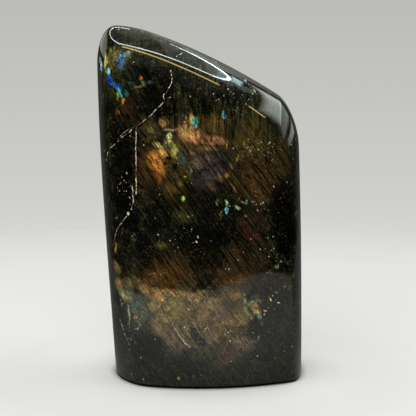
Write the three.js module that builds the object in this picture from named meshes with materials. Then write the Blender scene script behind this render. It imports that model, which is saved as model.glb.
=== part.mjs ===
// A polished labradorite freeform: one upright slab of stone, ground round by hand on a wheel.
// Millimetres, +Z up. It stands on its sawn base at z = 0, the broad front face looks towards -Y,
// and the crest runs down from the left (-X) to the right (+X).
import * as THREE from "three";

const HEIGHT = 150; // base to the highest point of the crest
const WIDTH = 85; // at the widest level

// The two narrow sides: distance from the middle at the foot, lean outwards per millimetre of
// height, and how far the side swells beyond that line half-way up.
const LEFT = { foot: 36.2, lean: 0.06, swell: 0.2 };
const RIGHT = { foot: 44.4, lean: -0.0345, swell: 0.95 };

// The two broad faces: greatest distance from the middle plane and the level where it lies,
// then the radius of the dome across the face and of the dome up the face.
const FRONT = { depth: 28, level: 40, across: 91, upright: 700 };
const BACK = { depth: 23, level: 45, across: 150, upright: 760 };

// The crest falls from left to right, steeper as it goes, and is crowned from front to back.
const CREST = { middle: 138, fall: 0.454, bow: 0.0027, crown: 31 };

// How far from an edge each face starts to round over into its neighbours, at the foot and at
// the top. The narrow sides are fullest half-way up, which is given too, and square up a little
// where they meet the saw cut. The front's upper edge is softest at the high left end and tightens
// to the right, where the crest runs down.
const ROUND = {
  left: { foot: 16, middle: 18.5, top: 10.5 },
  right: { foot: 4.5, middle: 8, top: 7.5 },
  front: { foot: 18, top: 21.5, topRight: 8 },
  back: { foot: 17, top: 15 },
};
const CREST_ROUND = { left: 19.5, right: 14.5 };
const FOOT = { round: 2.6, sawn: 1.3 }; // the saw leaves a flat just above where the foot's round would end

const CELLS = { x: 26, y: 14, z: 44 }; // grid of the rough block that is ground down
const CROWDING = 0.5; // share by which the grid lines draw in towards the block's edges
const GRINDING_STEPS = 40; // halvings of the distance to the finished surface

const { lerp, clamp } = THREE.MathUtils;

// How far a narrow side stands from the middle at a level.
function sideReach(side, z) {
  const up = z / HEIGHT;
  return side.foot + side.lean * z + side.swell * 4 * up * (1 - up);
}

// How far a broad face stands from the middle plane.
function faceReach(face, x, z) {
  return face.depth - x ** 2 / (2 * face.across) - (z - face.level) ** 2 / (2 * face.upright);
}

function crestHeight(x, y) {
  return CREST.middle - CREST.fall * x - CREST.bow * x ** 2 - y ** 2 / (2 * CREST.crown);
}

// A face's rounding at a level and at a share of the way across.
function roundAt(face, up, across) {
  const ends = lerp(face.foot, lerp(face.top, face.topRight ?? face.top, across), up);
  if (face.middle === undefined) return ends;
  return ends + (face.middle - (face.foot + face.top) / 2) * 4 * up * (1 - up);
}

// Zero on the stone's surface, negative inside it and positive outside. A face counts once a point
// is within its round, and the shares of two or three faces add as the legs of a right angle do,
// which rounds the edge or the corner between them.
function outside(p) {
  const up = clamp(p.z / HEIGHT, 0, 1);
  const across = clamp(0.5 + p.x / WIDTH, 0, 1);
  const faces = [
    [-p.x - sideReach(LEFT, p.z), roundAt(ROUND.left, up, across)],
    [p.x - sideReach(RIGHT, p.z), roundAt(ROUND.right, up, across)],
    [-p.y - faceReach(FRONT, p.x, p.z), roundAt(ROUND.front, up, across)],
    [p.y - faceReach(BACK, p.x, p.z), roundAt(ROUND.back, up, across)],
    [p.z - crestHeight(p.x, p.y), lerp(CREST_ROUND.left, CREST_ROUND.right, across)],
    [-p.z - FOOT.sawn, FOOT.round],
  ];
  const shares = faces.map(([beyond, round]) => Math.max(0, 1 + beyond / round));
  return Math.hypot(...shares) - 1;
}

// Where the line from a point inside the stone towards a point outside it meets the surface.
function groundDown(inside, beyond) {
  const ray = beyond.clone().sub(inside);
  let inner = 0;
  let outer = 1.5;
  for (let step = 0; step < GRINDING_STEPS; step++) {
    const middle = (inner + outer) / 2;
    if (outside(inside.clone().addScaledVector(ray, middle)) < 0) inner = middle;
    else outer = middle;
  }
  return inside.clone().addScaledVector(ray, inner);
}

// Moves a grid line, given as a share from -1 to 1, towards the nearer edge of the block.
function crowd(share) {
  return lerp(share, Math.sin((share * Math.PI) / 2), CROWDING);
}

// A rough block whose grid is ground down onto the stone's surface: level with itself in the lower
// half, and from the stone's heart in the upper half. The underside is the base's rim drawn in.
function stoneGeometry() {
  const block = new THREE.BoxGeometry(2, 2, 2, CELLS.x, CELLS.y, CELLS.z);
  const half = new THREE.Vector3(WIDTH / 2, FRONT.depth, HEIGHT / 2);
  const points = block.getAttribute("position");
  for (let i = 0; i < points.count; i++) {
    const share = new THREE.Vector3().fromBufferAttribute(points, i);
    const onBlock = new THREE.Vector3(crowd(share.x), crowd(share.y), crowd(share.z) + 1).multiply(half);
    const within = new THREE.Vector3(0, 0, Math.min(onBlock.z, half.z));
    const isUnderside = share.z === -1;
    const drawnIn = isUnderside ? Math.max(Math.abs(crowd(share.x)), Math.abs(crowd(share.y))) : 1;
    const p = within.clone();
    if (drawnIn > 0) {
      const onSide = within.clone().lerp(onBlock, 1 / drawnIn);
      p.lerp(groundDown(within, onSide), drawnIn);
    }
    points.setXYZ(i, p.x, p.y, p.z);
  }
  // The origin goes under the middle of the stone's box.
  block.computeBoundingBox();
  const middle = block.boundingBox.getCenter(new THREE.Vector3());
  block.translate(-middle.x, -middle.y, 0);
  block.computeVertexNormals();
  return block;
}

const darkLabradorite = new THREE.MeshStandardMaterial({
  name: "labradorite",
  color: new THREE.Color(0.1, 0.09, 0.06),
  roughness: 0.12,
  metalness: 0,
});

const stone = new THREE.Mesh(stoneGeometry(), darkLabradorite);
stone.name = "labradorite_stone";

const freeform = new THREE.Group();
freeform.name = "labradorite_freeform";
freeform.add(stone);

export default freeform;
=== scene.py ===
# A polished labradorite freeform, standing on a pale floor under a ring lamp.
# Lengths are metres in the scene and millimetres inside the stone's material.
import math

import bpy
import numpy as np
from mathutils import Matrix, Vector


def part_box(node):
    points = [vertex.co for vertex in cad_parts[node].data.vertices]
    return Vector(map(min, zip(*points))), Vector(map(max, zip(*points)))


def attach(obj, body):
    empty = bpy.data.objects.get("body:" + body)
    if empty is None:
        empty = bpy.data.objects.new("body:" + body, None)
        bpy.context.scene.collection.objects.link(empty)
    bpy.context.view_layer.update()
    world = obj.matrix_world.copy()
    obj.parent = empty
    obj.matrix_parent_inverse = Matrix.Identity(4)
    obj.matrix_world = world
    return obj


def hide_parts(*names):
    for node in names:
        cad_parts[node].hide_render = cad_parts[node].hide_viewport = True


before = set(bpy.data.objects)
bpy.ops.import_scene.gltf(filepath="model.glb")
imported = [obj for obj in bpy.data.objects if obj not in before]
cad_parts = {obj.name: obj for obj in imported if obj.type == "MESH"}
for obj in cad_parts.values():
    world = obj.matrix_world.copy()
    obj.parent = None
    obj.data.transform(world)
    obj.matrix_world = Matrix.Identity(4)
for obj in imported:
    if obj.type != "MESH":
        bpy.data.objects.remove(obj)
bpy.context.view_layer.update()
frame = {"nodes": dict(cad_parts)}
print("frame loaded:", ", ".join(frame["nodes"]))

bpy.context.scene.view_settings.view_transform = "Standard"
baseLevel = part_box("labradorite_stone")[0][2]
perMetre = 1000  # millimetres


# Short forms. A value that is another node's output is linked, any other becomes the input's own.

def isOutput(value):
    return isinstance(value, bpy.types.NodeSocket)


def feed(socket, value):
    if isOutput(value):
        socket.id_data.links.new(value, socket)
    else:
        socket.default_value = value


def addNode(tree, kind, inputs=None, **settings):
    made = tree.nodes.new("ShaderNode" + kind)
    for name, value in settings.items():
        setattr(made, name, value)
    for name, value in (inputs or {}).items():
        feed(made.inputs[name], value)
    return made


def maths(operation, *values):
    tree = next(value for value in values if isOutput(value)).id_data
    return addNode(tree, "Math", dict(enumerate(values)), operation=operation).outputs[0]


def times(a, b):
    return maths("MULTIPLY", a, b)


def larger(a, b):
    return maths("MAXIMUM", a, b)


def vectors(operation, *values):
    made = addNode(values[0].id_data, "VectorMath", dict(enumerate(values)), operation=operation)
    return made.outputs["Value" if operation in ("LENGTH", "DOT_PRODUCT") else "Vector"]


def scaled(vector, factor):
    return addNode(vector.id_data, "VectorMath", {0: vector, "Scale": factor}, operation="SCALE").outputs[0]


def turned(place, angle):
    # about the line from the front to the back
    values = {"Vector": place, "Angle": angle}
    return addNode(place.id_data, "VectorRotate", values, rotation_type="Y_AXIS").outputs[0]


def partsOf(place):
    return addNode(place.id_data, "SeparateXYZ", {0: place}).outputs


def ramp(value, low, high, toLow=0.0, toHigh=1.0, smooth=True):
    # a smooth ramp keeps within its ends by itself
    way = "SMOOTHSTEP" if smooth else "LINEAR"
    ends = {"Value": value, "From Min": low, "From Max": high, "To Min": toLow, "To Max": toHigh}
    return addNode(value.id_data, "MapRange", ends, interpolation_type=way, clamp=not smooth).outputs[0]


def blend(factor, under, over, kind="RGBA"):
    values = {"Factor": factor, "A": under, "B": over}
    return addNode(factor.id_data, "Mix", values, data_type=kind).outputs["Result"]


def noise(place, size, detail, roughness, pick, output="Fac"):
    # size is the distance between bumps, in the units of place; pick is one pattern among many
    inputs = {"Vector": place, "W": pick, "Scale": 1 / size, "Detail": detail, "Roughness": roughness}
    return addNode(place.id_data, "TexNoise", inputs, noise_dimensions="4D").outputs[output]


def newMaterial(name):
    material = bpy.data.materials.new(name)
    material.use_nodes = True
    return material, material.node_tree, material.node_tree.nodes["Principled BSDF"]


def newObject(name, data):
    made = bpy.data.objects.new(name, data)
    bpy.context.scene.collection.objects.link(made)
    return made


def shade(*parts):
    # a colour as a screen shows it, 0 to 255, made linear
    shares = [part / 255 for part in parts]
    return (*(c / 12.92 if c <= 0.04045 else ((c + 0.055) / 1.055) ** 2.4 for c in shares), 1.0)


# The stone's shape.

shape = {
    "weld": 0.00002,  # joins the corners of the frame's loose facets
    "pairing": 60,  # degrees: how far from flat and square two paired triangles may be
    "flush": 0.00001,  # faces within this of the base belong to the underside
    "rimCrease": 0.8,
    "rounding": 2,  # times each facet is halved and rounded over
    "pushes": 2,  # times the corners are pushed out again
    "grinding": 3,  # steps onto the ground faces
    "nudge": 0.001,  # millimetres, to feel which way a ground face slopes
    "rimKept": 0.3, "rimFade": 2,  # millimetres of the rim left as they are, then over which grinding sets in
    "waver": 0.00015,  # how far the hand-ground faces wander in and out
    "waverSize": 0.045,
    "steadyFoot": 0.004,  # the wander dies out below this level
}

# The faces the stone is ground to, in millimetres from a line up its heart: the form behind the facets.
# Narrow sides: (foot, lean, swell, round at the foot, half-way and at the top). Broad faces: (depth, level,
# dome across, dome upright, round at the foot, rounds at the top left and right). Crest: (middle, fall, bow,
# crown, rounds at the left and right). Foot: (saw cut, round).
ground = {
    "heart": (0.8892, -2.4996), "height": 150, "width": 85,
    "left": (36.2, 0.06, 0.2, 16, 18.5, 10.5), "right": (44.4, -0.0345, 0.95, 4.5, 8, 7.5),
    "front": (28, 40, 91, 700, 18, 21.5, 8), "back": (23, 45, 150, 760, 17, 15, 15),
    "crest": (138, 0.454, 0.0027, 31, 19.5, 14.5), "foot": (1.3, 2.6),
}


def outsideGround(points):
    # zero on the ground surface, negative inside it; faces that meet add up as a right angle's legs do
    x, y, z = points.T
    height = ground["height"]
    up = np.clip(z / height, 0, 1)
    across = np.clip(0.5 + x / ground["width"], 0, 1)
    shares = 0
    for way, (foot, slant, swell, low, halfway, top) in ((-x, ground["left"]), (x, ground["right"])):
        beyond = way - foot - slant * z - swell * 4 * z / height * (1 - z / height)
        rounding = low + (top - low) * up + (halfway - (low + top) / 2) * 4 * up * (1 - up)
        shares = shares + np.maximum(0, 1 + beyond / rounding) ** 2
    for way, (depth, level, wide, tall, low, left, right) in ((-y, ground["front"]), (y, ground["back"])):
        beyond = way - depth + x ** 2 / (2 * wide) + (z - level) ** 2 / (2 * tall)
        rounding = low + (left + (right - left) * across - low) * up
        shares = shares + np.maximum(0, 1 + beyond / rounding) ** 2
    middle, fall, bow, crown, left, right = ground["crest"]
    beyond = z - middle + fall * x + bow * x ** 2 + y ** 2 / (2 * crown)
    shares = shares + np.maximum(0, 1 + beyond / (left + (right - left) * across)) ** 2
    sawn, foot = ground["foot"]
    shares = shares + np.maximum(0, 1 - (z + sawn) / foot) ** 2
    return np.sqrt(shares) - 1


def weldSkin(piece):
    bpy.ops.object.mode_set(mode="EDIT")
    bpy.ops.mesh.select_all(action="SELECT")
    bpy.ops.mesh.remove_doubles(threshold=shape["weld"])
    pairing = math.radians(shape["pairing"])
    bpy.ops.mesh.tris_convert_to_quads(face_threshold=pairing, shape_threshold=pairing)
    bpy.ops.mesh.faces_shade_smooth()
    # the rim of the sawn base stays a firm edge
    bpy.ops.mesh.select_all(action="DESELECT")
    bpy.ops.object.mode_set(mode="OBJECT")
    underside = baseLevel + shape["flush"]
    for face in piece.data.polygons:
        face.select = all(piece.data.vertices[v].co.z < underside for v in face.vertices)
    bpy.ops.object.mode_set(mode="EDIT")
    bpy.ops.mesh.region_to_loop()
    bpy.ops.transform.edge_crease(value=shape["rimCrease"])
    bpy.ops.object.mode_set(mode="OBJECT")
    print("stone welded:", len(piece.data.polygons), "faces")


def roundOver(piece):
    rounding = piece.modifiers.new("rounding", "SUBSURF")
    rounding.levels = rounding.render_levels = shape["rounding"]
    bpy.ops.object.modifier_apply(modifier="rounding")


def roundFacets(piece):
    # rounding over draws the corners in, so they are first pushed out by as much
    corners = [v.co.copy() for v in piece.data.vertices]
    cage = piece.data
    for _ in range(shape["pushes"]):
        piece.data = cage.copy()
        roundOver(piece)
        for corner, kept, drawn in zip(cage.vertices, corners, piece.data.vertices):
            corner.co += kept - drawn.co
    piece.data = cage
    roundOver(piece)


def grindSmooth(piece):
    # takes out the last ripples between the facets; the rim of the base stays as it is
    flat = np.empty(len(piece.data.vertices) * 3)
    piece.data.vertices.foreach_get("co", flat)
    heart = np.array((*ground["heart"], 0.0))
    points = flat.reshape(-1, 3) * perMetre + heart
    weight = np.clip((points[:, 2] - shape["rimKept"]) / shape["rimFade"], 0, 1)[:, None]
    nudge = shape["nudge"]
    for _ in range(shape["grinding"]):
        value = outsideGround(points)
        slopes = [(outsideGround(points + step) - value) / nudge for step in np.eye(3) * nudge]
        slope = np.stack(slopes, axis=1)
        points -= weight * (value / (slope ** 2).sum(axis=1))[:, None] * slope
    points[:, 2] = np.maximum(points[:, 2], 0)  # the sawn base stays flat
    piece.data.vertices.foreach_set("co", ((points - heart) / perMetre).ravel())


def addWander(piece):
    groundPart = piece.vertex_groups.new(name="groundPart")
    for vertex in piece.data.vertices:
        level = (vertex.co.z - baseLevel) / shape["steadyFoot"]
        groundPart.add([vertex.index], min(1.0, max(0.0, level)), "REPLACE")
    waver = bpy.data.textures.new("waver", "CLOUDS")
    waver.noise_scale = shape["waverSize"]
    waver.noise_depth = 0
    wander = piece.modifiers.new("wander", "DISPLACE")
    wander.texture = waver
    wander.texture_coords = "LOCAL"
    wander.strength = shape["waver"]
    wander.mid_level = 0.5
    wander.vertex_group = "groundPart"
    bpy.ops.object.modifier_apply(modifier="wander")


def makeStone():
    bpy.ops.object.select_all(action="DESELECT")
    piece = newObject("polished_stone", frame["nodes"]["labradorite_stone"].data.copy())
    piece.data.materials.clear()
    piece.select_set(True)
    bpy.context.view_layer.objects.active = piece
    weldSkin(piece)
    roundFacets(piece)
    grindSmooth(piece)
    addWander(piece)
    bpy.ops.object.shade_smooth()
    print("stone finished:", len(piece.data.polygons), "faces")
    return piece


stone = makeStone()
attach(stone, "root")
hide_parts("labradorite_stone")


# The stone's finish, in millimetres.

# Each flash: x, z, half width, half height, lean, core, rim, strength, raggedness and, where it isn't on the
# front, the y of its middle. A lean of 35 lies along the twin layers.
# The bright flashes are labradorescence, a sheen that shifts with the light, painted here as fixed colour;
# the dim fields are the stone's own body colour.
zones = (
    # broad fields
    (14, 110, 34, 28, 0, (38, 36, 20), (22, 22, 13), 0.85, 0.8),
    (22, 96, 22, 26, 15, (66, 52, 26), (34, 30, 15), 0.9, 0.8),
    (-4, 98, 26, 22, 30, (64, 50, 25), (35, 32, 18), 0.9, 0.9),
    (-5, 72, 26, 16, 20, (17, 18, 11), (11, 12, 8), 0.85, 0.8),
    (-3, 50, 40, 12, 15, (56, 40, 20), (30, 24, 13), 0.95, 0.9),
    (0, 16, 60, 30, 0, (28, 30, 25), (28, 30, 25), 1, 0.4),
    (-1, 35, 29, 16, 32, (104, 88, 57), (54, 48, 34), 1, 0.7),
    (11, 27, 17, 16, 32, (98, 81, 60), (50, 44, 35), 0.95, 0.8),
    (-12, 140, 36, 24, -24, (46, 48, 37), (38, 40, 31), 1, 0.4, 9),
    (20, 130, 26, 16, -30, (40, 42, 34), (34, 36, 28), 0.95, 0.5, 9),
    # upper left and top
    (-36, 128, 10, 15, 0, (50, 50, 27), (20, 22, 13), 0.8, 1, -10),
    (-33, 136, 9, 6, -10, (104, 98, 58), (50, 50, 30), 0.95, 1.2, -8),
    (-30, 115, 8, 9, 35, (42, 27, 15), (18, 13, 9), 0.9, 0.9),
    (-30, 131, 7, 6, 0, (26, 26, 25), (15, 15, 13), 0.8, 0.9),
    (-4, 119, 6, 6, 0, (32, 32, 20), (15, 16, 10), 0.9, 1),
    (-16, 117, 6, 5, 20, (10, 10, 7), (12, 12, 8), 0.9, 0.9),
    (-9, 124, 3, 3, 0, (76, 80, 50), (30, 32, 20), 0.85, 1.2),
    (15, 116, 13, 8, 0, (34, 33, 17), (17, 18, 10), 0.9, 1),
    (-10, 128, 13, 6, -24, (6, 7, 4), (8, 9, 6), 0.85, 0.7),
    (11, 123, 11, 5, -28, (12, 12, 9), (14, 14, 10), 0.85, 0.8),
    (2, 117, 3, 6, 10, (2, 2, 2), (6, 6, 4), 0.9, 0.8),
    (-18.5, 121, 7, 12, 10, (5, 5, 3), (8, 8, 6), 0.9, 0.7),
    # right
    (20, 102, 16, 15, 20, (58, 49, 25), (32, 30, 17), 0.95, 0.9),
    (23, 86, 9, 15, 10, (58, 42, 22), (28, 21, 12), 0.95, 0.9),
    (5, 110, 9, 7, 0, (72, 55, 24), (38, 32, 16), 0.95, 1),
    (20, 71, 7, 8, 15, (42, 30, 19), (20, 15, 11), 0.9, 0.9),
    (20.5, 65, 2.4, 5, 35, (58, 30, 28), (26, 17, 13), 0.85, 1.2),
    (35, 70, 7, 22, 0, (0, 0, 0), (3, 3, 2), 0.98, 0.5),
    (31, 76, 4, 13, 8, (4, 4, 3), (8, 8, 6), 0.9, 0.7),
    # left
    (-32.5, 86, 8, 24, 0, (3, 3, 2), (6, 6, 4), 0.93, 0.7),
    (-20.5, 93, 7.5, 10.5, 30, (64, 45, 20), (26, 20, 11), 0.95, 1),
    (-21, 108, 4, 4, 30, (72, 58, 32), (34, 29, 16), 0.85, 1.2),
    (-12.6, 84, 6.5, 6, 35, (78, 60, 28), (30, 25, 13), 0.95, 1.3),
    # middle
    (4, 93, 13, 12, 20, (54, 47, 43), (25, 23, 22), 0.95, 0.9),
    (-7, 75, 6, 7, 20, (58, 60, 24), (24, 26, 13), 0.95, 1.1),
    (1, 64, 12, 10, 0, (5, 6, 5), (8, 8, 6), 0.85, 0.7),
    (2, 55, 10, 7, 10, (12, 10, 7), (15, 13, 9), 0.85, 0.8),
    # rust band
    (-15, 50, 14, 8, 40, (78, 54, 22), (38, 28, 14), 0.95, 1.2),
    (3, 46.6, 8, 4, 10, (14, 11, 7), (20, 16, 10), 0.9, 1),
    (-13, 46, 8, 3.6, 35, (84, 54, 22), (56, 38, 18), 0.85, 1.3),
    (15, 47, 11, 5, 10, (76, 54, 30), (36, 28, 17), 0.95, 1.1),
    # tan sheet above the foot
    (-2, 26, 18, 15, 30, (94, 78, 58), (56, 49, 38), 0.9, 0.7),
    (9, 22, 13, 13, 30, (98, 78, 61), (57, 49, 40), 0.9, 0.7),
    (-14, 38.8, 13, 3.6, 6, (152, 118, 68), (118, 94, 56), 0.95, 0.6),
    (-19.5, 39.4, 4.4, 2.8, 0, (136, 104, 64), (104, 82, 52), 0.95, 0.9),
    (-23, 44, 5, 3, 20, (86, 64, 38), (60, 44, 26), 0.9, 1),
    (-3.4, 39.4, 7, 3.2, 0, (140, 106, 68), (92, 72, 46), 0.9, 0.7),
    (-12, 33, 12, 8, 30, (108, 91, 60), (72, 62, 44), 1, 0.8),
    (-21, 36, 5, 4, 20, (108, 94, 58), (60, 54, 36), 0.95, 1),
    (4, 34, 12, 8, 35, (108, 89, 62), (74, 63, 46), 1, 0.8),
    (4.5, 41.5, 6, 3.4, 15, (30, 25, 18), (36, 31, 22), 0.88, 0.9),
    (20.5, 34.5, 7, 7, 30, (112, 97, 61), (62, 57, 41), 0.9, 1),
    (-12, 36, 4, 4, 20, (106, 96, 58), (86, 76, 50), 0.9, 1),
    (9, 29, 5, 8, 20, (118, 94, 67), (74, 62, 48), 0.95, 0.9),
    (14, 30, 8, 8, 25, (100, 80, 52), (58, 49, 37), 0.9, 0.9),
    (-12.5, 24, 7, 7, 35, (92, 76, 55), (54, 47, 36), 0.9, 0.9),
    (17, 20, 8, 8, 35, (90, 75, 60), (44, 40, 32), 0.9, 0.9),
    # slate foot
    (-26, 31.5, 7.5, 11.5, 8, (70, 73, 63), (38, 41, 36), 0.95, 0.4),
    (-22, 17, 12, 10, 20, (12, 14, 12), (20, 22, 19), 0.92, 0.8),
    (-12, 6, 12, 6, 10, (14, 15, 12), (20, 21, 18), 0.85, 0.8),
    (-3.6, 13, 4.6, 6.4, 15, (20, 24, 21), (26, 28, 25), 0.92, 0.7),
    (10, 13, 9, 8, 10, (66, 54, 45), (40, 35, 30), 0.9, 0.9),
    (29, 24, 11, 22, 10, (22, 24, 20), (20, 22, 18), 0.95, 0.7),
    (-1, 21, 2.6, 5.5, 10, (9, 16, 16), (30, 36, 32), 0.97, 0.5),
    (35, 9, 7, 7, 0, (32, 25, 18), (24, 22, 17), 0.9, 0.6),
    # the far side, the narrow sides and the top
    (-6, 62, 26, 22, -35, (74, 52, 26), (30, 24, 14), 0.95, 1, 21),
    (-14, 70, 8, 12, -35, (150, 96, 44), (80, 54, 26), 0.95, 1.2, 21),
    (8, 96, 14, 20, -25, (40, 56, 52), (20, 24, 20), 0.9, 0.9, 21),
    (-12, 118, 12, 10, -30, (24, 60, 104), (20, 34, 46), 0.95, 1.2, 18),
    (16, 46, 12, 14, -35, (96, 96, 44), (36, 38, 20), 0.95, 1.2, 21),
    (-2, 20, 30, 14, -30, (70, 60, 46), (34, 32, 26), 0.9, 0.8, 21),
    (-42, 60, 10, 24, 0, (44, 38, 22), (20, 19, 12), 0.9, 1, 4),
    (43, 92, 10, 18, 0, (56, 44, 22), (24, 21, 12), 0.9, 1, 4),
    (43, 36, 8, 16, 0, (34, 42, 40), (20, 23, 20), 0.9, 0.9, 4),
)

# painted sheen: the blue, gold and orange sparks are labradorescence painted as fixed colour
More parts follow.
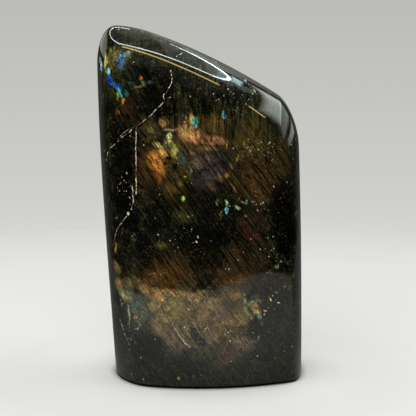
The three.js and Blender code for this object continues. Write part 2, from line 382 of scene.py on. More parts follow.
sparks = (
    # upper left: blues with green and gold edges
    (-36.8, 134, 4, 3.6, 0, (98, 88, 50), (46, 44, 26), 0.8, 1.7, -10),
    (-32.6, 135.4, 2.2, 4.4, -5, (46, 78, 132), (58, 82, 96), 0.95, 0.9, -12),
    (-31.6, 137.3, 3.4, 1.5, 8, (76, 118, 140), (64, 76, 56), 0.9, 1.1, -11),
    (-29.8, 138.6, 2.2, 1.1, 10, (110, 126, 112), (70, 72, 46), 0.85, 1.2, -10),
    (-41, 133.2, 0.9, 3.8, 10, (160, 206, 226), (84, 120, 130), 0.95, 0.7, -5),
    (-39.2, 134.8, 0.8, 4, -3, (226, 200, 108), (100, 90, 48), 0.95, 0.9, -8),
    (-38, 130.9, 1.3, 1.9, 5, (120, 180, 212), (96, 146, 112), 1, 0.7, -10),
    (-37.2, 127.4, 1.4, 2.3, 30, (18, 50, 180), (40, 100, 150), 1, 0.7, -11),
    (-34.4, 125.2, 1.2, 2.8, 45, (18, 76, 184), (50, 110, 140), 1, 0.8, -14),
    (-32.9, 124.4, 1, 1.8, 10, (16, 60, 186), (40, 110, 160), 1, 0.7, -15),
    (-33, 122.4, 0.8, 3.2, 22, (46, 150, 190), (64, 140, 124), 1, 0.7, -15),
    (-34, 121, 1.1, 2.6, 10, (150, 152, 66), (84, 86, 42), 0.95, 1, -14),
    (-30.4, 122.2, 1, 2, 10, (30, 82, 88), (26, 50, 46), 0.85, 1.1, -16),
    (-31.6, 118.8, 0.7, 2, -20, (200, 120, 54), (110, 64, 32), 0.95, 0.9, -15),
    (-34, 114.6, 0.8, 1.6, 30, (170, 96, 40), (80, 48, 22), 0.9, 0.9, -12),
    (-24.2, 129, 1, 1.2, 10, (150, 76, 36), (90, 52, 26), 0.9, 1, -16),
    (-23.5, 127.1, 1, 0.9, 0, (60, 120, 116), (54, 76, 56), 0.9, 0.9, -17),
    (-24.4, 125.8, 4, 0.9, 20, (110, 86, 34), (56, 46, 22), 0.9, 1.4, -17),
    (-28.4, 126.4, 3, 0.8, 15, (34, 62, 66), (26, 36, 33), 0.8, 1.2, -16),
    (-20.6, 127.4, 1.3, 1, 10, (48, 76, 90), (30, 44, 42), 0.8, 1.2),
    # the swirl
    (-18.1, 94.9, 3.9, 7, 30, (194, 120, 55), (114, 75, 34), 1, 1.1),
    (-15.4, 99.2, 3.2, 3.2, 30, (184, 130, 70), (140, 98, 48), 1, 0.9),
    (-17.4, 89, 1.6, 3.8, 28, (132, 78, 36), (66, 44, 22), 0.95, 1.1),
    (-16.6, 101.8, 4.8, 1.6, -28, (170, 154, 84), (104, 90, 46), 0.95, 1.1),
    (-13.2, 103.6, 2.2, 4.2, -28, (160, 146, 90), (100, 90, 50), 0.95, 1),
    (-12.7, 106, 1.4, 2.2, -15, (196, 214, 160), (138, 146, 94), 0.95, 0.7),
    (-20.4, 108.2, 2.6, 1.6, -30, (104, 96, 50), (56, 50, 27), 0.9, 1.1),
    (-15.2, 111, 2.2, 2.6, 35, (140, 104, 60), (70, 54, 32), 0.9, 1.1),
    (-11, 108.7, 6, 0.6, 2, (168, 140, 106), (100, 78, 54), 0.85, 0.9),
    (-10.2, 99.8, 3.1, 5.6, 30, (140, 132, 66), (82, 79, 42), 0.95, 1.1),
    (-7.4, 97, 2.4, 5, 24, (52, 62, 56), (36, 40, 34), 0.85, 1),
    (-4.4, 112.4, 2.1, 3.8, 18, (186, 150, 85), (102, 83, 42), 1, 1.3),
    (-5.4, 106.8, 4.2, 4.8, 30, (200, 156, 95), (136, 102, 60), 0.95, 1),
    (-2.6, 105.4, 4, 3.6, 25, (208, 142, 92), (136, 96, 61), 1, 1),
    (1.8, 104.2, 3.6, 2.6, 10, (172, 112, 78), (106, 77, 53), 0.95, 1),
    (5.6, 104, 6.1, 2.6, -2, (138, 96, 70), (100, 72, 50), 1, 0.5),
    (3, 101, 8, 1.6, 0, (104, 82, 54), (56, 45, 34), 0.85, 1.2),
    (10.6, 102.6, 0.6, 2.6, -5, (150, 120, 46), (80, 62, 28), 0.9, 0.9),
    (-2.8, 111.6, 1.7, 2.6, 5, (40, 124, 138), (90, 140, 112), 1, 0.9),
    (-2.2, 109.4, 1, 1.1, 0, (170, 216, 206), (90, 160, 150), 1, 0.6),
    (9.3, 114.2, 0.75, 2, -4, (10, 44, 160), (80, 160, 170), 1, 0.3),
    (-1.5, 95.2, 3, 3.6, 35, (100, 87, 60), (56, 48, 40), 0.8, 1.6),
    (-13, 96.8, 1.5, 1.1, 20, (3, 3, 2), (14, 14, 9), 0.95, 1.1),
    (-14.9, 95, 1.2, 1, 0, (3, 3, 2), (20, 16, 9), 0.95, 1.1),
    (-10.6, 93.4, 2.2, 1.8, 30, (4, 5, 4), (12, 13, 9), 0.9, 1.3),
    (7.2, 89.4, 0.8, 3.2, 28, (140, 114, 52), (66, 52, 26), 0.9, 1.2),
    (10.4, 90, 1.8, 1.4, 5, (150, 104, 40), (70, 50, 22), 0.85, 1.4),
    (13.6, 84.6, 0.5, 4, 33, (130, 94, 36), (60, 46, 20), 0.85, 1.4),
    (14.6, 97, 0.8, 2.6, -20, (120, 104, 42), (56, 48, 22), 0.8, 1),
    (17.4, 102, 0.4, 3.2, -3, (140, 110, 36), (80, 62, 22), 0.85, 0.7),
    (-6.6, 89.8, 0.8, 0.9, 0, (164, 158, 60), (90, 90, 36), 0.9, 0.6),
    (-7.2, 80.6, 1.1, 1.5, -30, (120, 200, 104), (136, 130, 40), 1, 0.6),
    (-3.4, 99, 2, 1, -40, (150, 120, 96), (70, 58, 50), 0.7, 1.6),
    (2.6, 97.6, 1.4, 2.6, 20, (104, 82, 78), (52, 44, 44), 0.8, 1.5),
    (6, 95, 2.4, 1.2, 40, (24, 22, 24), (34, 30, 30), 0.8, 1.4),
    (0, 92, 2.6, 1.4, 30, (18, 18, 18), (30, 27, 26), 0.8, 1.5),
    (-4.4, 92.4, 0.7, 2, 10, (120, 126, 96), (62, 66, 52), 0.8, 1.2),
    (-8.6, 86.8, 1.2, 1.6, 30, (110, 84, 44), (56, 44, 26), 0.8, 1.4),
    (4.4, 86, 1.4, 2.8, 33, (94, 74, 44), (46, 38, 26), 0.8, 1.5),
    (12.2, 93.6, 0.7, 2.4, 20, (120, 92, 42), (60, 48, 24), 0.8, 1.2),
    (-21.4, 104.6, 1.6, 2.2, -28, (92, 82, 40), (46, 41, 22), 0.8, 1.2),
    # the little blue ones below the swirl
    (6.7, 79.3, 0.6, 1.6, -6, (20, 50, 56), (110, 124, 56), 0.9, 0.5),
    (10.5, 78.8, 0.8, 1.5, 8, (150, 196, 160), (130, 126, 54), 0.95, 0.5),
    (10.1, 75.8, 0.8, 1.8, -8, (20, 90, 150), (130, 196, 190), 1, 0.4),
    (14.6, 76.8, 1.5, 0.9, -28, (84, 170, 176), (140, 140, 54), 1, 0.5),
    (17, 78.6, 1.4, 0.4, -50, (120, 116, 44), (80, 74, 30), 0.85, 0.7),
    (18.4, 79, 0.7, 1.4, -6, (84, 140, 148), (60, 86, 70), 0.9, 0.6),
    (21.4, 79, 1, 0.7, 10, (124, 118, 108), (70, 66, 60), 0.85, 1.2),
    (8, 74.6, 0.4, 2, -12, (120, 104, 36), (54, 50, 22), 0.85, 0.8),
    (15.6, 80.6, 0.3, 2, -30, (130, 104, 34), (60, 48, 20), 0.8, 0.8),
    # left edge and foot
    (-35.4, 58, 0.7, 3.4, -6, (170, 126, 48), (80, 60, 26), 0.95, 1, -11),
    (-35.4, 48.6, 2.2, 4.6, 12, (120, 102, 66), (70, 60, 40), 0.9, 0.9, -12),
    (-34.4, 42, 2.6, 4.2, 20, (118, 98, 66), (76, 68, 48), 0.95, 0.9, -14),
    (-34.4, 42.8, 0.9, 2.7, -4, (172, 106, 60), (92, 66, 42), 0.95, 0.9, -15),
    (-32.1, 38.3, 2.5, 3.3, 10, (156, 148, 104), (84, 80, 58), 0.95, 1.5, -15),
    (-30.3, 30.6, 0.6, 6.4, 5, (150, 144, 108), (84, 82, 62), 0.85, 1.2, -17),
    (-27.6, 29.6, 1.2, 1.6, 35, (150, 112, 76), (80, 64, 46), 0.85, 1.1),
    (-16, 61, 4, 2, 0, (80, 78, 42), (36, 34, 20), 0.8, 1.6),
    (31, 51.2, 1.2, 1.5, 30, (130, 150, 84), (56, 66, 38), 0.9, 1.1, -16),
    # the eye and the flakes beside it
    (20.2, 40.4, 1.5, 4, -35, (6, 8, 6), (14, 16, 13), 0.9, 0.7),
    (22, 34.4, 2.1, 4.2, 38, (108, 96, 54), (80, 74, 46), 0.95, 0.5),
    (17.6, 37.6, 1, 2.6, 5, (108, 110, 76), (70, 72, 50), 0.9, 0.5),
    (18, 34.6, 1.1, 2.6, 16, (122, 118, 78), (76, 76, 52), 0.95, 0.5),
    (19.9, 31.6, 1.2, 3.1, 40, (134, 128, 86), (80, 78, 56), 0.95, 0.5),
    (20.4, 36.9, 0.8, 2, -52, (98, 130, 110), (84, 98, 72), 0.9, 0.5),
    (22.5, 36, 0.9, 2, 25, (140, 92, 48), (100, 80, 46), 0.95, 0.6),
    (22.8, 32.8, 1, 2.7, 62, (160, 150, 86), (108, 100, 60), 0.95, 0.6),
    (24.2, 30.7, 0.9, 1.9, 35, (92, 120, 122), (74, 82, 66), 0.95, 0.5),
    (25.2, 28, 0.7, 1.8, 10, (64, 70, 50), (44, 46, 36), 0.8, 0.9),
    (19.8, 34, 0.6, 3.2, 38, (28, 28, 19), (52, 50, 36), 0.9, 0.5),
    (28.7, 37.6, 0.5, 0.9, 0, (236, 214, 180), (140, 120, 86), 1, 0.3),
    (32, 36.1, 0.4, 0.9, 60, (226, 204, 166), (150, 130, 92), 1, 0.3),
    (26.5, 32.9, 0.4, 0.9, 60, (190, 164, 136), (140, 116, 84), 1, 0.3),
    (26.2, 31.6, 0.5, 0.5, 0, (196, 176, 148), (140, 116, 84), 1, 0.3),
    (29.8, 39.2, 0.45, 0.4, 0, (206, 170, 140), (120, 96, 70), 1, 0.3),
    (-22.4, 41.6, 5.6, 2.8, -30, (130, 101, 64), (106, 84, 55), 0.95, 0.7, -23),
    (-26.6, 45.6, 3.6, 1.9, -35, (96, 76, 50), (70, 58, 40), 0.85, 0.8, -20),
    (-4.6, 40.9, 5.4, 1.8, 4, (114, 94, 64), (90, 76, 55), 0.9, 0.8),
    (-18.8, 39.4, 4.2, 3, -20, (150, 107, 66), (112, 86, 56), 0.9, 0.9),
    (-30, 43.6, 3.4, 3, 0, (102, 90, 63), (80, 72, 52), 0.9, 1, -17),
    (-29.9, 38.2, 3, 3.4, 0, (126, 120, 90), (76, 74, 58), 0.9, 1.4, -17),
    (14.6, 40, 4.4, 2.6, 15, (110, 83, 52), (82, 62, 38), 0.85, 1.1),
    (-17.4, 28, 3.6, 7.4, 20, (106, 90, 64), (86, 74, 54), 0.9, 0.9),
    (-3, 23.4, 2.2, 4.8, 14, (15, 21, 19), (36, 39, 33), 0.95, 0.7),
    (-9.4, 4.6, 0.7, 1.2, 35, (170, 124, 54), (80, 60, 32), 0.9, 1.2),
    (34.6, 42.6, 0.6, 0.6, 0, (190, 106, 76), (90, 62, 46), 0.95, 0.5, -14),
    # the chipped spot on the upper edge
    (18.2, 126.6, 0.9, 1.1, 0, (132, 133, 136), (56, 58, 55), 0.95, 0.8, -8),
    (19.6, 125.2, 0.5, 1.2, 50, (92, 94, 90), (38, 40, 35), 0.9, 0.8, -8),
    (20.9, 124.1, 0.4, 1, 40, (150, 146, 134), (50, 50, 44), 0.9, 0.6, -9),
    (21.9, 123, 0.5, 0.9, 40, (104, 102, 90), (44, 44, 38), 0.9, 0.8, -9),
    # the far side and the top
    (-15, 120, 1.6, 5, -35, (20, 70, 190), (70, 150, 170), 1, 0.8, 18),
    (-10, 114, 1.2, 4, -30, (30, 110, 200), (120, 160, 90), 1, 0.8, 19),
    (12, 100, 1.4, 3, -20, (60, 150, 160), (120, 130, 60), 0.95, 0.9, 21),
    (-16, 74, 3, 5, -35, (214, 140, 64), (130, 84, 38), 1, 1, 21),
    (18, 50, 2, 3, -35, (150, 170, 80), (90, 96, 44), 0.95, 1, 21),
)

# Each crack: half width, then the (x, z) it runs through. The sheets of mineral run straight into the stone.
cracks = (
    (0.08, ((-6.7, 138.5), (-9.8, 137.2), (-11.2, 136.2), (-12.3, 134.3))),
    (0.08, ((-12.2, 131.6), (-11.8, 128.7), (-11.8, 127), (-13.6, 123.8))),
    (0.085, ((-13.6, 123.8), (-15, 121.9), (-14.7, 119.7), (-16.4, 118), (-19.3, 115.1), (-22.2, 112.4),
             (-25.5, 110.1), (-26.3, 109.4))),
    (0.085, ((-26.3, 109.4), (-26.4, 99.8), (-26.3, 93), (-26.5, 88))),
    (0.08, ((-13.4, 120.4), (-12.4, 121.4))),
    (0.13, ((-26.5, 88), (-26.2, 84.4), (-26.6, 82))),
    (0.12, ((-28, 85.2), (-27.9, 83), (-27.7, 79), (-28.6, 75.2))),
    (0.36, ((-29.9, 73.8), (-30, 73.2))),
    (0.06, ((-30.4, 72.6), (-31.3, 71.3), (-33.1, 68.8), (-34.5, 66.4), (-35.7, 63.9), (-36.2, 60.7))),
    (0.08, ((-27.4, 109.2), (-28.8, 107), (-30.5, 106), (-32.2, 104.4), (-34.4, 102.4), (-37.6, 99.4))),
    (0.06, ((-29.4, 108), (-31.4, 106.6), (-34, 103.6))),
    (0.14, ((-38.4, 98.2), (-39.1, 95.2), (-39.6, 93))),
    (0.07, ((-38.6, 100), (-41, 96.2), (-42.4, 93.2), (-42.5, 91), (-41.8, 89.7))),
    (0.07, ((-39.1, 95), (-39.8, 92.6), (-41.2, 90.2))),
    (0.2, ((-13.2, 30.8), (-12.2, 28.8), (-11.4, 27.2))),
    (0.07, ((-11.4, 27.2), (-9.6, 24.2), (-7.6, 21.4))),
    (0.22, ((-7.6, 21.2), (-6.4, 20), (-4.8, 18.4))),
    (0.09, ((3, 29.2), (2.4, 27), (1.2, 25.6))),
    (0.06, ((-34.2, 26.7), (-33.3, 24.4), (-32.6, 22.2), (-31.4, 19.6), (-30.2, 17.2))),
    (0.05, ((-28, 29.6), (-26.4, 28.4), (-25.2, 26.6), (-26.6, 24.8), (-28, 24.6))),
)

# Where flakes crowd: x, z, half width, half height, share of the places that carry one
sprinkles = (
    (23, 102, 9, 6, 0.5), (28, 98, 3, 3, 0.7), (8, 122, 9, 3, 0.25), (20, 119, 7, 3, 0.3),
    (24, 76, 4, 6, 0.3), (27, 62, 3, 10, 0.6), (31, 54, 3, 5, 0.6), (16, 55, 8, 5, 0.2),
    (-30, 84, 6, 9, 0.3), (-12, 64, 9, 6, 0.25), (-1, 64, 5, 4, 0.35), (-16, 47, 14, 4, 0.16),
    (28, 38, 4, 5, 0.6), (11, 24, 9, 9, 0.35), (24, 20, 5, 5, 0.35), (30, 15, 5, 6, 0.25),
    (-27, 15, 7, 8, 0.2), (-3, 27, 8, 8, 0.14), (-32, 37, 3, 5, 0.4),
)

finish = {
    "layerLean": 35,  # degrees from upright, to the left
    "polish": 0.02, "grainDull": 0.05, "fillDull": 0.35,  # roughness, and what the grain and the fillings add
    "index": 1.56, "shine": 0.25,
    # how far the wide and the close wander move things
    "zoneWarp": (17, 7), "sparkWarp": (3, 2.8), "crackWarp": 1.4, "flakeWarp": 1.2,
    # marks lie at markDepth unless they give a y; those behind edgeDepth reach less far in y
    "markDepth": -21, "markReach": 18, "edgeDepth": -18, "edgeReach": 15,
    "markShare": (1.05, 0.6), "coreShare": (0.85, 0.3),  # of its reach: where a mark and its core fade in
    "crackDepth": 18, "crackThrough": 0.008,  # cracks run straight in and narrow slowly
    "crackEdge": (1.25, 0.75), "flakeEdge": (0.05, -0.03),
    "colourDrift": (1.1, 0.7), "colourLevel": (1.32, 1.36, 1.22),
}

tints = {
    "dark": (5, 6, 4), "olive": (28, 27, 17), "mottle": (44, 43, 27), "glint": (156, 142, 100),
    "crackDim": (104, 82, 50), "crackPale": (255, 238, 208),
    "flakeDim": (116, 94, 60), "flakePale": (240, 222, 192),
}

# Each noise: millimetres between bumps, detail, roughness, pattern and, for long bumps, the place's squeeze
grains = {
    "wide": (11, 4, 0.6, 0), "close": (1.7, 4, 0.7, 2), "fine": (0.5, 3, 0.72, 4, (1, 0.6, 0.45)),
    "cloud": (7, 5, 0.62, 5), "patches": (2.6, 4, 0.68, 6), "streaks": (1, 3, 0.65, 1, (1, 0.35, 0.1)),
    "upright": (0.8, 3, 0.65, 8, (1, 0.2, 0.05)), "glints": (0.5, 1, 0.5, 15, (1, 1, 0.7)),
    "glintDrift": (9, 2, 0.5, 17), "beads": (1.5, 2, 0.6, 11), "flakeDrift": (12, 2, 0.5, 13),
}

# How each noise shows: it rises between the first two numbers, from none to all or from the third to the last
grainShows = {
    "cloud": (0.4, 0.62), "patches": (0.53, 0.68), "glints": (0.64, 0.74),
    "glintDrift": (0.4, 0.64, 0.04, 0.5), "streakShade": (0.34, 0.66, 0.7, 1.3),
    "uprightShade": (0.36, 0.64, 0.4, 1.7), "fineShade": (0.36, 0.64, 0.35, 1.8),
    "patchShade": (0.36, 0.62, 0.7, 1.3), "beadWidth": (0.34, 0.64, 0.35, 1.5),
    "beadColour": (0.38, 0.58), "flakeDrift": (0.5, 0.7, 0.005, 0.05),
}

layerLook = {
    # thin dark lines: millimetres between them and along them, thinness and pattern
    "leaningLines": (1.1, 26, 0.06, 7), "uprightLines": (1.9, 60, 0.07, 9),
    "lineSqueeze": 0.35, "lineSoftness": 0.3,
    "streaks": 1.2, "fine": 1.5, "patches": 0.9, "middle": 1.8,  # what makes the edges of a mark ragged
    # the upright layers take over between these levels and places: upwards, to the right and over the crest
    "high": (98, 116), "right": (-22, -10), "crest": (-12, -6),
    "leaningDepth": (36, 56, 0.42, 0.82), "leaningLight": 1.06,  # leaning lines are paler in the foot
    "uprightDepth": 0.75,
}

flakeLook = {
    "small": (0.9, (0.1, 0.3)), "large": (2.1, (0.05, 0.17)),  # cell, then the least and the greatest size
    "apart": (5.3, 1.7, 3.1), "squeeze": (1, 1, 0.65), "smallShare": 0.8,
    "depth": -20, "reach": 16, "crowdEdge": (1.1, 0.3),
}


def grain(place, name, output="Fac"):
    size, detail, roughness, pick, *squeeze = grains[name]
    if squeeze:
        place = vectors("MULTIPLY", place, squeeze[0])
    return noise(place, size, detail, roughness, pick, output)


def shows(value, name):
    return ramp(value, *grainShows[name])


def wander(place, name):
    # a drift in all directions, about nothing on the whole
    return vectors("SUBTRACT", grain(place, name, "Color"), (0.5, 0.5, 0.5))


def warped(place, wide, close, amounts):
    drift = vectors("ADD", scaled(wide, amounts[0]), scaled(close, amounts[1]))
    return vectors("ADD", place, drift)


def startGroup(name, inputs, output, kind):
    tree = bpy.data.node_groups.new(name, "ShaderNodeTree")
    for given, givenKind in inputs.items():
        tree.interface.new_socket(given, in_out="INPUT", socket_type="NodeSocket" + givenKind)
    tree.interface.new_socket(output, in_out="OUTPUT", socket_type="NodeSocket" + kind)
    return tree, tree.nodes.new("NodeGroupInput").outputs


# paints one flash into the base colour; where it is labradorescence this is a painted sheen
def makeFlashGroup():
    tree, given = startGroup("flash", {
        "Under": "Color", "Place": "Vector", "Layers": "Float", "Middle": "Vector", "Reach": "Vector",
        "Lean": "Float", "Core": "Color", "Rim": "Color", "Strength": "Float", "Ragged": "Float",
    }, "Colour", "Color")
    beyond = turned(vectors("SUBTRACT", given["Place"], given["Middle"]), given["Lean"])
    away = vectors("LENGTH", vectors("DIVIDE", beyond, given["Reach"]))
    away = maths("MULTIPLY_ADD", given["Layers"], given["Ragged"], away)
    share = times(ramp(away, *finish["markShare"]), given["Strength"])
    colour = blend(ramp(away, *finish["coreShare"]), given["Rim"], given["Core"])
    feed(tree.nodes.new("NodeGroupOutput").inputs[0], blend(share, given["Under"], colour))
    return tree


def makeCrackGroup():
    # how far a place is from one straight piece of a crack, in half widths
    tree, given = startGroup("crack piece", {
        "Place": "Vector", "From": "Vector", "Along": "Vector", "Per Length": "Float", "Per Width": "Float",
    }, "Distance", "Float")
    start = vectors("SUBTRACT", given["Place"], given["From"])
    share = times(vectors("DOT_PRODUCT", start, given["Along"]), given["Per Length"])
    share = maths("MINIMUM", larger(share, 0.0), 1.0)
    reached = scaled(given["Along"], share)
    away = vectors("LENGTH", vectors("SUBTRACT", start, reached))
    feed(tree.nodes.new("NodeGroupOutput").inputs[0], times(away, given["Per Width"]))
    return tree


def addFromGroup(group, values):
    return addNode(values["Place"].id_data, "Group", values, node_tree=group).outputs[0]


def fineLines(place, name):
    # 0 on long thin lines along z, 1 between them
    gap, long, thin, pick = layerLook[name]
    squeezed = vectors("MULTIPLY", place, (1.0, layerLook["lineSqueeze"], gap / long))
    waves = noise(squeezed, gap, 1, 0.5, pick)
    away = maths("ABSOLUTE", maths("SUBTRACT", waves, 0.5))
    return ramp(away, thin * layerLook["lineSoftness"], thin)


def addFlashes(colour, flashes, place, layers, group):
    for x, z, across, high, lean, core, rim, strength, ragged, *depth in flashes:
        y = depth[0] if depth else finish["markDepth"]
        reach = finish["markReach" if y < finish["edgeDepth"] else "edgeReach"]
        colour = addFromGroup(group, {
            "Under": colour, "Place": place, "Layers": layers, "Middle": (x, y, z),
            "Reach": (across, reach, high), "Lean": math.radians(lean), "Core": shade(*core),
            "Rim": shade(*rim), "Strength": strength, "Ragged": ragged,
        })
    return colour


def layerShade(place, streaks, upright, leaningLines, uprightLines):
    # leaning layers nearly all over, upright ones high on the right and over the crest
    x, y, z = partsOf(place)
    high = times(ramp(z, *layerLook["high"]), ramp(x, *layerLook["right"]))
    high = larger(high, ramp(y, *layerLook["crest"]))
    depth = ramp(z, *layerLook["leaningDepth"])
    light = maths("SUBTRACT", layerLook["leaningLight"], depth)
    lines = maths("MULTIPLY_ADD", leaningLines, depth, light)
    leaning = times(lines, shows(streaks, "streakShade"))
    depth = layerLook["uprightDepth"]
    lines = maths("MULTIPLY_ADD", uprightLines, depth, 1 - depth)
    standing = times(lines, shows(upright, "uprightShade"))
    return blend(high, leaning, standing, "FLOAT")


def addGlints(colour, place, layered):
    # finer than the flakes, thicker in some parts than in others
    glints = grain(layered, "glints")
    often = shows(grain(place, "glintDrift"), "glintDrift")
    glints = times(shows(glints, "glints"), often)
    return blend(glints, colour, shade(*tints["glint"]))


def nearestCrack(place):
    # how far the nearest crack is, in half widths
    group = makeCrackGroup()
    place = vectors("ADD", place, (0, finish["crackDepth"], 0))
    place = vectors("MULTIPLY", place, (1, finish["crackThrough"], 1))
    nearest = None
    for width, points in cracks:
        for (x, z), (nextX, nextZ) in zip(points, points[1:]):
            along = Vector((nextX - x, 0, nextZ - z))
            distance = addFromGroup(group, {
                "Place": place, "From": (x, 0, z), "Along": along,
                "Per Length": 1 / along.length_squared, "Per Width": 1 / width,
            })
            nearest = distance if nearest is None else maths("MINIMUM", nearest, distance)
    return nearest


def fillCracks(colour, place, close):
    # pale mineral, beaded along the cracks' length
    beads = grain(place, "beads")
    moved = vectors("ADD", place, scaled(close, finish["crackWarp"]))
    away = maths("DIVIDE", nearestCrack(moved), shows(beads, "beadWidth"))
    crack = ramp(away, *finish["crackEdge"])
    dim, pale = shade(*tints["crackDim"]), shade(*tints["crackPale"])
    mineral = blend(shows(beads, "beadColour"), dim, pale)
    return blend(crack, colour, mineral), crack


def flakesOf(place, kind, crowding):
    # small round flakes, one in some of the cells
    cell, (least, greatest) = flakeLook[kind]
    tree = place.id_data
    cells = addNode(tree, "TexVoronoi", {"Vector": place, "Scale": 1 / cell})
    pick = addNode(tree, "SeparateColor", {0: cells.outputs["Color"]})
    kept = maths("GREATER_THAN", maths("ADD", pick.outputs[0], crowding), 1.0)
    size = maths("MULTIPLY_ADD", pick.outputs[1], greatest - least, least)
    beyond = maths("SUBTRACT", cells.outputs["Distance"], size)
    return times(kept, ramp(beyond, *finish["flakeEdge"])), pick.outputs[2]


def addFlakes(colour, place, zonePlace, layered, close):
    # flakes that catch the light, crowded in places
    crowding = shows(grain(place, "flakeDrift"), "flakeDrift")
    for x, z, across, high, much in sprinkles:
        beyond = vectors("SUBTRACT", zonePlace, (x, flakeLook["depth"], z))
        beyond = vectors("DIVIDE", beyond, (across, flakeLook["reach"], high))
        crowd = ramp(vectors("LENGTH", beyond), *flakeLook["crowdEdge"], 0.0, much)
        crowding = larger(crowding, crowd)
    moved = vectors("ADD", layered, scaled(close, finish["flakeWarp"]))
    moved = vectors("MULTIPLY", moved, flakeLook["squeeze"])
    small, smallTone = flakesOf(moved, "small", crowding)
    large, largeTone = flakesOf(vectors("ADD", moved, flakeLook["apart"]), "large", crowding)
    flakes = larger(times(small, flakeLook["smallShare"]), large)
    tone = larger(smallTone, largeTone)
    glitter = blend(tone, shade(*tints["flakeDim"]), shade(*tints["flakePale"]))
    return blend(flakes, colour, glitter), flakes


def makeLabradorite():
    material, tree, surface = newMaterial("polished_labradorite")
    here = addNode(tree, "TexCoord").outputs["Object"]
    place = vectors("MULTIPLY", here, (perMetre,) * 3)
    wide, close = wander(place, "wide"), wander(place, "close")
    zonePlace = warped(place, wide, close, finish["zoneWarp"])
    sparkPlace = warped(place, wide, close, finish["sparkWarp"])
    layered = turned(place, math.radians(finish["layerLean"]))
    fine = grain(layered, "fine")
    cloud = grain(place, "cloud")
    patches = grain(place, "patches")

    # twin layers in the feldspar: streaks and thin dark lines, leaning to the left and upright
    streaks = grain(layered, "streaks")
    streaky = times(streaks, layerLook["streaks"])
    layers = maths("ADD", streaky, times(fine, layerLook["fine"]))
    layers = maths("MULTIPLY_ADD", patches, layerLook["patches"], layers)
    layers = maths("SUBTRACT", layers, layerLook["middle"])
    leaningLines = fineLines(layered, "leaningLines")
    upright = grain(place, "upright")
    uprightLines = fineLines(place, "uprightLines")

    # dark feldspar, mottled with olive
    colour = blend(shows(cloud, "cloud"), shade(*tints["dark"]), shade(*tints["olive"]))
    colour = blend(shows(patches, "patches"), colour, shade(*tints["mottle"]))
    # the flashes: the stone's own colour fields, and labradorescence painted as fixed colour, a painted sheen
    group = makeFlashGroup()
    colour = addFlashes(colour, zones, zonePlace, layers, group)
    colour = addFlashes(colour, sparks, sparkPlace, layers, group)

    # the colours drift from grain to grain
    closeDrift, wideDrift = finish["colourDrift"]
    drift = vectors("ADD", scaled(close, closeDrift), scaled(wide, wideDrift))
    colour = vectors("MULTIPLY", colour, vectors("ADD", drift, finish["colourLevel"]))

    layerTone = layerShade(zonePlace, streaks, upright, leaningLines, uprightLines)
    mottle = times(shows(fine, "fineShade"), shows(patches, "patchShade"))
    colour = scaled(colour, times(layerTone, mottle))
    colour = addGlints(colour, place, layered)
    colour, crack = fillCracks(colour, place, close)
    colour, flakes = addFlakes(colour, place, zonePlace, layered, close)

    feed(surface.inputs["Base Color"], colour)
    roughness = maths("MULTIPLY_ADD", fine, finish["grainDull"], finish["polish"])
    filled = larger(crack, flakes)
    roughness = maths("MULTIPLY_ADD", filled, finish["fillDull"], roughness)
    feed(surface.inputs["Roughness"], roughness)
    surface.inputs["IOR"].default_value = finish["index"]
    surface.inputs["Specular IOR Level"].default_value = finish["shine"]
    return material


stone.data.materials.append(makeLabradorite())
print("stone finish made")


# The floor and the paper sheet.

floorLook = {
    "reach": 0.7, "corners": 96, "dull": 0.7, "shine": 0.2,
    # painted light: "near" is the colour of a pool of light painted on the floor round the stone, paler than
    # "far"
    "far": (0.52, 0.52, 0.515, 1), "near": (0.6, 0.6, 0.59, 1), "dark": (0.02, 0.02, 0.02, 1),
    "paintedLightEdge": (0.09, 0.04), "paintedLightSqueeze": (1, 1.25, 1),  # the floor is palest close to the stone
    # painted shadow: near the stone the floor's colour falls to "dark" where ambient occlusion finds the
    # stone close, a contact shadow painted in
    "contact": 0.0075,  # how near the stone its shadow closes up
    "paintedShadowShade": (0.33, 0.72), "samples": 12,
    "fade": (0.16, 0.42),  # the floor melts into the backdrop between these
}

# The paper sheet that the polish mirrors, in metres round the stone. It darkens beside and behind the stone.
sheetLook = {
    "outline": ((-0.18, 0.9), (-0.18, -0.04), (-0.15, -0.095), (-0.115, -0.14), (-0.065, -0.18), (0, -0.192),
                (0.06, -0.2), (0.11, -0.214), (0.165, -0.2), (0.25, -0.08), (0.27, 0.3), (0.27, 0.9)),
    "level": -0.0004, "dull": 0.8, "fading": (0.05, -0.08),
    "dark": (0.06, 0.06, 0.06, 1), "pale": (0.54, 0.54, 0.53, 1),
}


def makeFloor():
    material, tree, paint = newMaterial("floor paint")
    paint.inputs["Roughness"].default_value = floorLook["dull"]
    paint.inputs["Specular IOR Level"].default_value = floorLook["shine"]
    here = addNode(tree, "TexCoord").outputs["Object"]
    # painted light: the floor's colour is paler close to the stone, a painted pool of light
    away = vectors("LENGTH", vectors("MULTIPLY", here, floorLook["paintedLightSqueeze"]))
    beside = ramp(away, *floorLook["paintedLightEdge"])
    # painted shadow: ambient occlusion darkens the floor's colour beside the stone's foot
    near = {"Distance": floorLook["contact"]}
    contact = addNode(tree, "AmbientOcclusion", near, samples=floorLook["samples"])
    pale = blend(beside, floorLook["far"], floorLook["near"])
    lit = ramp(contact.outputs["AO"], *floorLook["paintedShadowShade"])
    feed(paint.inputs["Base Color"], blend(lit, floorLook["dark"], pale))
    clear = addNode(tree, "BsdfTransparent")
    fade = addNode(tree, "MixShader")
    feed(fade.inputs[0], ramp(vectors("LENGTH", here), *floorLook["fade"]))
    feed(fade.inputs[1], paint.outputs[0])
    feed(fade.inputs[2], clear.outputs[0])
    feed(tree.nodes["Material Output"].inputs["Surface"], fade.outputs[0])

    corners, reach = floorLook["corners"], floorLook["reach"]
    bpy.ops.mesh.primitive_circle_add(vertices=corners, radius=reach, fill_type="NGON", location=(0, 0, 0))
    floor = bpy.context.active_object
    floor.name = "floor"
    floor.data.materials.append(material)
    floor.visible_glossy = floor.visible_shadow = floor.visible_diffuse = False


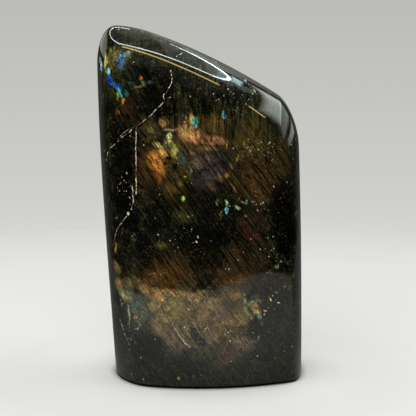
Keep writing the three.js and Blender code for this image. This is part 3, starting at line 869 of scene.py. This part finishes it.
def makeSheet():
    material, tree, paper = newMaterial("paper")
    back = partsOf(addNode(tree, "TexCoord").outputs["Object"])["Y"]
    colour = blend(ramp(back, *sheetLook["fading"]), sheetLook["dark"], sheetLook["pale"])
    feed(paper.inputs["Base Color"], colour)
    paper.inputs["Roughness"].default_value = sheetLook["dull"]
    outline = [(x, y, sheetLook["level"]) for x, y in sheetLook["outline"]]
    mesh = bpy.data.meshes.new("paper_sheet")
    mesh.from_pydata(outline, [], [tuple(range(len(outline)))])
    sheet = newObject("paper_sheet", mesh)
    sheet.data.materials.append(material)
    sheet.visible_camera = False


# The lamps. A glow is what a mirror would show.

heartLevel = 0.09  # lamps round the stone are placed from here, and most are aimed at it

lampTints = {
    "ring": (0.93, 1, 0.98), "warm": (1, 0.74, 0.24), "cool": (0.91, 1, 0.87), "pale": (0.68, 0.94, 1),
    "mint": (0.85, 1, 0.95), "olive": (0.9, 1, 0.8), "wall": (0.96, 1, 0.84), "white": (1, 1, 1),
}

# A ring lamp, as a row of (x, y, glow) in its own plane, from one side of the gap at its back to the other
ringLook = {
    "level": 0.4, "width": 0.009, "overlap": 0.001,
    "path": (
        (-0.015, 0.2, 20), (-0.045, 0.198, 50), (-0.1, 0.188, 62), (-0.16, 0.172, 62), (-0.215, 0.15, 62),
        (-0.252, 0.12, 56), (-0.266, 0.08, 46), (-0.256, 0.034, 42), (-0.232, -0.004, 38), (-0.2, -0.03, 36),
        (-0.165, -0.048, 34), (-0.125, -0.062, 31), (-0.085, -0.07, 26), (-0.045, -0.068, 26),
        (-0.005, -0.062, 32), (0.035, -0.056, 28), (0.075, -0.05, 29), (0.11, -0.045, 31),
        (0.138, -0.037, 36), (0.158, -0.018, 44), (0.169, 0.012, 40), (0.172, 0.05, 44), (0.168, 0.09, 52),
        (0.157, 0.13, 64), (0.14, 0.165, 72), (0.122, 0.19, 76), (0.103, 0.2, 64), (0.084, 0.2, 40),
        (0.066, 0.198, 14),
    ),
}

# A tall window, brighter above, and a low pane under its sill: (name, bearing, rise, distance, width, length,
# glow). Each is several panes within each other, which softens its edges.
windowLook = {
    "sizes": (1, 0.9, 0.8, 0.7), "apart": 0.01,
    "panes": (
        ("window_above", 101.5, 42, 0.9, 1, 0.25, 1.95), ("window_below", 99, 29, 0.92, 1.08, 0.42, 0.64),
        ("window_foot", 112, 8, 0.94, 0.8, 0.13, 0.56),
    ),
}

# Flat lamps overhead: name, place, width, length, glow and, where it matters, tint and turn in radians
goldStrips = (
    ("gold_edge", (0.03, -0.098, 0.4), 0.25, 0.011, 20, "warm", math.radians(-3)),
    ("gold_end", (0.31, -0.19, 0.4), 0.1, 0.011, 20, "warm", math.radians(-23)),
)
lampPanes = (
    ("blue_window", (0.19, 0.08, 0.402), 0.026, 0.14, 6),
    ("blue_window", (0.19, 0.08, 0.4017), 0.0182, 0.098, 6),
    ("lamp_cover", (0.145, 0.07, 0.403), 0.042, 0.19, 1.2),
    ("lamp_end", (0.157, 0.06, 0.4035), 0.018, 0.14, 2.8),
    ("lamp_haze", (0.135, 0.235, 0.404), 0.1, 0.07, 2, "pale", -0.5),
    ("far_haze", (0.155, 0.33, 0.405), 0.11, 0.28, 1.1),
    ("nose_haze", (0.163, -0.025, 0.4065), 0.05, 0.06, 1.6),
    ("lamp_glow", (0.1, 0.08, 0.406), 0.13, 0.24, 0.7, "mint"),
    ("window_haze", (0.217, 0.02, 0.402), 0.04, 0.1, 1.6, "pale", -0.35),
    ("lamp_middle", (-0.045, 0.07, 0.409), 0.4, 0.25, 0.22, "olive"),
)

# Soft lights that the polish doesn't mirror: name, bearing, rise, distance, width, length, glow and aim
softLights = (
    ("right_soft", 97, 33, 0.9, 1, 0.48, 1.8, heartLevel),
    ("left_soft", -130, 16, 1, 0.42, 0.28, 2.2, heartLevel),
    ("left_fill", -62, 36, 1, 0.7, 0.5, 1.6, 0.05), ("front_soft", -10, 48, 1.1, 1, 0.8, 3, 0.06),
)


def addPanel(name, place, width, length, glow, tint="pale", turn=0.0, aim=None, soft=False):
    panel = bpy.data.lights.new(name, "AREA")
    panel.shape = "RECTANGLE"
    panel.size = width
    panel.size_y = length
    panel.energy = glow * math.pi * width * length
    panel.color = lampTints[tint]
    lamp = newObject(name, panel)
    lamp.location = place
    if aim is None:
        lamp.rotation_euler = (0, 0, turn)
    else:
        lamp.rotation_euler = (lamp.location - Vector((0, 0, aim))).to_track_quat("Z", "Y").to_euler()
    lamp.visible_camera = False
    lamp.visible_glossy = not soft
    lamp.visible_diffuse = soft


def towards(bearing, rise, away):
    # a place seen from the stone: bearing in degrees from the front, to the right
    turn, up = math.radians(bearing), math.radians(rise)
    level = away * math.cos(up)
    return (level * math.sin(turn), -level * math.cos(turn), heartLevel + away * math.sin(up))


def addRing():
    path = ringLook["path"]
    for number, ((x0, y0, glow), (x1, y1, nextGlow)) in enumerate(zip(path, path[1:])):
        place = ((x0 + x1) / 2, (y0 + y1) / 2, ringLook["level"])
        length = math.hypot(x1 - x0, y1 - y0) + ringLook["overlap"]
        turn = math.atan2(y1 - y0, x1 - x0)
        addPanel(f"ring_{number}", place, length, ringLook["width"], (glow + nextGlow) / 2, "ring", turn)


def addWindow():
    for size in windowLook["sizes"]:
        for name, bearing, rise, away, width, length, glow in windowLook["panes"]:
            place = towards(bearing, rise, away + (1 - size) * windowLook["apart"])
            addPanel(name, place, width * size, length * size, glow, "cool", aim=heartLevel)


def makeLights():
    addRing()
    for strip in goldStrips:
        addPanel(*strip)
    addWindow()
    for pane in lampPanes:
        addPanel(*pane)
    addPanel("left_wall", towards(-126, 20, 1.0), 0.67, 0.42, 1.8, "wall", aim=heartLevel)
    addPanel("overhead_soft", (-0.04, 0.06, 0.7), 0.8, 0.45, 4.6, "white", soft=True)
    for name, bearing, rise, away, width, length, glow, aim in softLights:
        addPanel(name, towards(bearing, rise, away), width, length, glow, "white", aim=aim, soft=True)


# The room. Directions are parts of a line one long: x to the right, y backwards, z up.

roomLook = {
    # what the camera sees: a pale sweep, darker towards the top, as (share of the way up, colour)
    "sweepRise": (-0.36, 0.0),
    "sweep": ((0, (231, 231, 228)), (0.1, (226, 226, 223)), (0.2, (227, 227, 224)), (0.3, (232, 232, 230)),
              (0.35, (229, 229, 226)), (0.43, (211, 211, 207)), (0.56, (203, 204, 199)),
              (0.73, (195, 196, 191)), (0.95, (186, 187, 182))),
    # what lights the stone: a dark room with a grey ceiling and dim walls behind and at the right
    "glow": (0.98, 1, 0.88, 1), "dark": (0, 0, 0, 1),
    "ceiling": (0.7, 0.85, 0, 0.25), "backward": (0.88, 0.97), "backRise": (0.2, 0.45, 0.25, 0.66),
    "sides": (0.5, 0.8, 0.02, 0.12), "right": (0.7, 0.9, 0, 0.09), "rightRise": (-0.12, -0.03),
}


def makeWorld():
    world = bpy.data.worlds.new("studio")
    bpy.context.scene.world = world
    world.use_nodes = True
    tree = world.node_tree
    way = addNode(tree, "TexCoord").outputs["Generated"]
    x, y, z = partsOf(way)
    seen = addNode(tree, "ValToRGB")
    feed(seen.inputs[0], ramp(z, *roomLook["sweepRise"], smooth=False))
    stops = seen.color_ramp.elements
    while len(stops) < len(roomLook["sweep"]):
        stops.new(0.5)
    for stop, (place, colour) in zip(stops, roomLook["sweep"]):
        stop.position = place
        stop.color = shade(*colour)
    ceiling = ramp(z, *roomLook["ceiling"])
    level = vectors("NORMALIZE", vectors("MULTIPLY", way, (1, 1, 0)))
    backward = ramp(vectors("DOT_PRODUCT", level, (0, 1, 0)), *roomLook["backward"])
    behind = times(backward, ramp(z, *roomLook["backRise"]))
    sides = ramp(y, *roomLook["sides"])
    right = times(ramp(x, *roomLook["right"]), ramp(z, *roomLook["rightRise"]))
    brightest = larger(larger(ceiling, behind), larger(sides, right))
    path = addNode(tree, "LightPath")
    room = blend(brightest, roomLook["dark"], roomLook["glow"])
    shown = blend(path.outputs["Is Camera Ray"], room, seen.outputs[0])
    feed(tree.nodes["Background"].inputs["Color"], shown)


makeFloor()
makeSheet()
makeLights()
makeWorld()
print("studio made")


# The camera.

view = {
    "target": (0.0028, 0.0005, 0.072), "rise": 11.0, "away": 0.5402,
    "lens": 110.0, "sensor": 36.0, "nearest": 0.01, "farthest": 20,
}


def makeCamera():
    data = bpy.data.cameras.new("camera")
    data.lens = view["lens"]
    data.sensor_width = view["sensor"]
    data.clip_start = view["nearest"]
    data.clip_end = view["farthest"]
    camera = newObject("camera", data)
    rise = math.radians(view["rise"])
    x, y, z = view["target"]
    camera.location = (x, y - view["away"] * math.cos(rise), z + view["away"] * math.sin(rise))
    camera.rotation_euler = (math.radians(90) - rise, 0, 0)
    bpy.context.scene.camera = camera


makeCamera()
